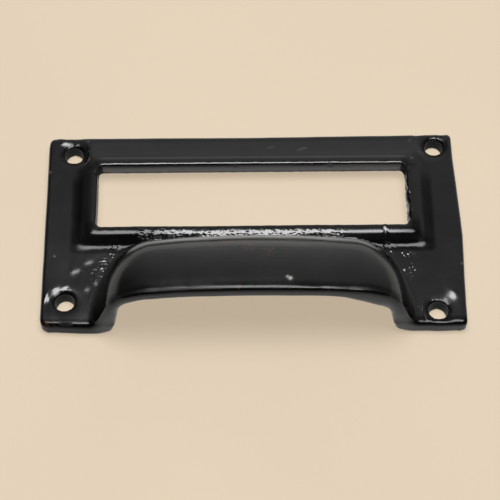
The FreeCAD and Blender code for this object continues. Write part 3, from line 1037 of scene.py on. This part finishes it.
def pale_floor(settings):
    """A pale floor that gives light of itself, and that the lacquer mirrors as a greyer one."""
    half = settings.floor_size / 2
    corners = [(-half, -half, 0), (half, -half, 0), (half, half, 0), (-half, half, 0)]
    mesh = bpy.data.meshes.new("pale_floor")
    mesh.from_pydata(corners, [], [(0, 1, 2, 3)])
    material = bpy.data.materials.new("pale_floor")
    material.use_nodes = True
    tree = material.node_tree
    shader = tree.nodes["Principled BSDF"]
    shader.inputs["Roughness"].default_value = FLOOR_ROUGHNESS
    cloud = noise_over(tree, Scale=9.0, Detail=3.0)
    shade = ranged(tree, cloud, *FLOOR_CLOUD)
    pale = Vector(settings.floor_colour)
    tint = mixed(tree, shade, pale, pale * FLOOR_CLOUD_SHADE)
    seen = tree.nodes.new("ShaderNodeLightPath").outputs["Is Camera Ray"]
    tint = mixed(tree, seen, settings.floor_bounce, tint)
    tree.links.new(tint, shader.inputs["Base Color"])
    tree.links.new(tint, shader.inputs["Emission Color"])
    shader.inputs["Emission Strength"].default_value = settings.floor_glow
    mesh.materials.append(material)
    floor = bpy.data.objects.new("pale_floor", mesh)
    floor.location.z = -settings.floor_drop
    bpy.context.scene.collection.objects.link(floor)


def overhead_light(settings):
    """One soft light above the casting, turned towards the part's origin."""
    data = bpy.data.lights.new("overhead_softbox", "AREA")
    data.shape = "RECTANGLE"
    data.size, data.size_y = settings.light_size
    data.energy = settings.light_power
    light = bpy.data.objects.new("overhead_softbox", data)
    light.location = Vector(settings.light_place)
    light.rotation_mode = "QUATERNION"
    light.rotation_quaternion = (-light.location).to_track_quat("-Z", "Y")
    bpy.context.scene.collection.objects.link(light)


def photo_camera(settings):
    """The camera at the photograph's viewing angle."""
    data = bpy.data.cameras.new("photo_camera")
    data.sensor_width = SENSOR_WIDTH
    data.lens = settings.lens
    camera = bpy.data.objects.new("photo_camera", data)
    camera.location = Vector(settings.camera_place)
    camera.rotation_mode = "QUATERNION"
    level = (Vector(settings.camera_aim) - camera.location).to_track_quat("-Z", "Y")
    roll = Matrix.Rotation(settings.camera_roll, 3, "Z").to_quaternion()
    camera.rotation_quaternion = level @ roll
    data.clip_start = CLIP_START
    bpy.context.scene.collection.objects.link(camera)
    bpy.context.scene.camera = camera


# Settings, operators and panel


class CastingSettings(bpy.types.PropertyGroup):
    """Sizes and finish of the casting"""

    voxel: FloatProperty(
        name="Voxel", description="Edge of the casting's fine faces", default=0.00042, unit="LENGTH")
    soften_passes: IntProperty(
        name="Soften", description="Rounds of smoothing over the whole casting", default=2)
    edge_passes: IntProperty(
        name="Soft edges", description="Rounds of smoothing over the edges of frame and spot faces",
        default=8)
    hole_passes: IntProperty(
        name="Soft holes", description="Rounds of smoothing over the screw holes' front edges",
        default=24)
    leg_passes: IntProperty(
        name="Soft legs", description="Rounds of smoothing over the hood's legs", default=40)
    facet_passes: IntProperty(
        name="Soft facets", description="Rounds of smoothing over the facets that catch the light",
        default=5)
    corner_passes: IntProperty(
        name="Soft corners", description="Rounds of smoothing over the frame's corners", default=40)
    waviness: FloatProperty(
        name="Waviness", description="Height of the broad unevenness of the skin", default=0.00008,
        unit="LENGTH")
    sill_roughness: FloatProperty(
        name="Rough sill", description="Strength of the flaky lacquer on the sill", default=1.0)
    grain_roughness: FloatProperty(
        name="Sand grain", description="Strength of the coarse sand grain beside the hood", default=1.0)
    lacquer_colour: FloatVectorProperty(
        name="Lacquer", description="Colour of the lacquer", subtype="COLOR",
        default=(0.0012, 0.0012, 0.0012))
    haze_colour: FloatVectorProperty(
        name="Haze", description="Colour of the dull bloom on the lacquer", subtype="COLOR",
        default=(0.006, 0.006, 0.0058))
    rust_colour: FloatVectorProperty(
        name="Rust", description="Colour of the rust", subtype="COLOR", default=(0.042, 0.017, 0.009))
    iron_colour: FloatVectorProperty(
        name="Iron", description="Colour of the bare chips", subtype="COLOR", default=(0.35, 0.35, 0.34))
    gloss_low: FloatProperty(
        name="Glossy roughness", description="Roughness of the glossiest lacquer", default=0.13,
        subtype="FACTOR")
    gloss_high: FloatProperty(
        name="Dull roughness", description="Roughness of the dullest lacquer", default=0.24,
        subtype="FACTOR")
    raw_roughness: FloatProperty(
        name="Raw roughness", description="Roughness of the bare skin in holes and on worn edges",
        default=0.75, subtype="FACTOR")
    coat: FloatProperty(
        name="Top coat", description="Weight of the clear top coat where it isn't rubbed off",
        default=0.56, subtype="FACTOR")
    coat_roughness: FloatProperty(
        name="Top coat roughness", description="Roughness of the clear top coat", default=0.17,
        subtype="FACTOR")
    rubbed_sheen: FloatProperty(
        name="Rubbed sheen", description="Strength of the reflections under the top coat",
        default=0.15, subtype="FACTOR")


class StageSettings(bpy.types.PropertyGroup):
    """Sizes and colours of the stage, its light and its camera"""

    floor_size: FloatProperty(
        name="Floor", description="Side of the square floor", default=4.0, unit="LENGTH")
    floor_drop: FloatProperty(
        name="Floor gap", description="How far the floor lies under the casting's back",
        default=0.0003, unit="LENGTH")
    floor_colour: FloatVectorProperty(
        name="Floor colour", description="Colour of the pale floor", subtype="COLOR",
        default=(0.132, 0.108, 0.080))
    floor_bounce: FloatVectorProperty(
        name="Floor bounce", description="Colour of the floor as the lacquer mirrors it", subtype="COLOR",
        default=(0.122, 0.120, 0.115))
    floor_glow: FloatProperty(
        name="Floor glow", description="Light that the floor gives of itself, as a light table does",
        default=4.0)
    backdrop_colour: FloatVectorProperty(
        name="Backdrop", description="Colour seen behind the floor", subtype="COLOR",
        default=(0.8, 0.74, 0.65))
    light_place: FloatVectorProperty(
        name="Light", description="Place of the overhead softbox", subtype="TRANSLATION",
        default=(0.02, 0.03, 0.7))
    light_size: FloatVectorProperty(
        name="Light size", description="Width and depth of the overhead softbox", size=2, unit="LENGTH",
        default=(0.5, 0.27))
    light_power: FloatProperty(
        name="Light power", description="Power of the overhead softbox", default=8.4, unit="POWER")
    wall_direction: FloatVectorProperty(
        name="Bright wall", description="Direction of the room's soft bright side", subtype="DIRECTION",
        default=(0.25, 0.85, 0.35))
    lens: FloatProperty(
        name="Lens", description="Focal length on a 36 mm sensor", default=121.02, unit="CAMERA")
    camera_place: FloatVectorProperty(
        name="Camera", description="Place of the camera", subtype="TRANSLATION",
        default=(-0.004505, -0.207574, 0.352905))
    camera_aim: FloatVectorProperty(
        name="Aim", description="Point that the camera looks at", subtype="TRANSLATION",
        default=(-0.0007, -0.00386, 0.0))
    camera_roll: FloatProperty(
        name="Roll", description="Turn of the camera about its own axis", default=math.radians(0.4),
        subtype="ANGLE")


class LABELPULL_OT_casting(bpy.types.Operator):
    """Make the lacquered iron casting from the solid"""

    bl_idname = "label_pull.casting"
    bl_label = "Make Casting"

    def execute(self, context):
        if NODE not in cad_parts:
            raise RuntimeError(f"the frame has no node named {NODE}")
        settings = context.scene.label_pull_casting
        mesh = shape_casting(settings)
        if not mesh.polygons:
            raise RuntimeError("the casting came out without faces")
        mesh.materials.clear()
        mesh.materials.append(lacquer(settings))
        piece = bpy.data.objects.new(PIECE, mesh)
        context.scene.collection.objects.link(piece)
        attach(piece, BODY)
        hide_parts(NODE)
        return {"FINISHED"}


class LABELPULL_OT_stage(bpy.types.Operator):
    """Make the pale floor, the studio light and the camera"""

    bl_idname = "label_pull.stage"
    bl_label = "Make Stage"

    def execute(self, context):
        settings = context.scene.label_pull_stage
        context.scene.view_settings.view_transform = "Standard"
        studio_world(settings)
        pale_floor(settings)
        overhead_light(settings)
        photo_camera(settings)
        if context.scene.camera is None:
            raise RuntimeError("the stage has no camera")
        return {"FINISHED"}


class LABELPULL_PT_sidebar(bpy.types.Panel):
    """Settings and operators of the label frame pull"""

    bl_label = "Label Frame Pull"
    bl_idname = "LABELPULL_PT_sidebar"
    bl_space_type = "VIEW_3D"
    bl_region_type = "UI"
    bl_category = "Label Pull"

    def draw(self, context):
        for operator, settings in (
            (LABELPULL_OT_casting, context.scene.label_pull_casting),
            (LABELPULL_OT_stage, context.scene.label_pull_stage),
        ):
            for name in settings.__annotations__:
                self.layout.prop(settings, name)
            self.layout.operator(operator.bl_idname)


CLASSES = (
    CastingSettings,
    StageSettings,
    LABELPULL_OT_casting,
    LABELPULL_OT_stage,
    LABELPULL_PT_sidebar,
)


def register():
    """Make the settings, the operators and the panel known to Blender."""
    for item in CLASSES:
        bpy.utils.register_class(item)
    bpy.types.Scene.label_pull_casting = PointerProperty(type=CastingSettings)
    bpy.types.Scene.label_pull_stage = PointerProperty(type=StageSettings)


def unregister():
    """Take the settings, the operators and the panel away again."""
    del bpy.types.Scene.label_pull_stage
    del bpy.types.Scene.label_pull_casting
    for item in reversed(CLASSES):
        bpy.utils.unregister_class(item)


def main():
    """Build the casting and the stage."""
    register()
    bpy.ops.label_pull.casting()
    bpy.ops.label_pull.stage()


if __name__ == "__main__":
    main()
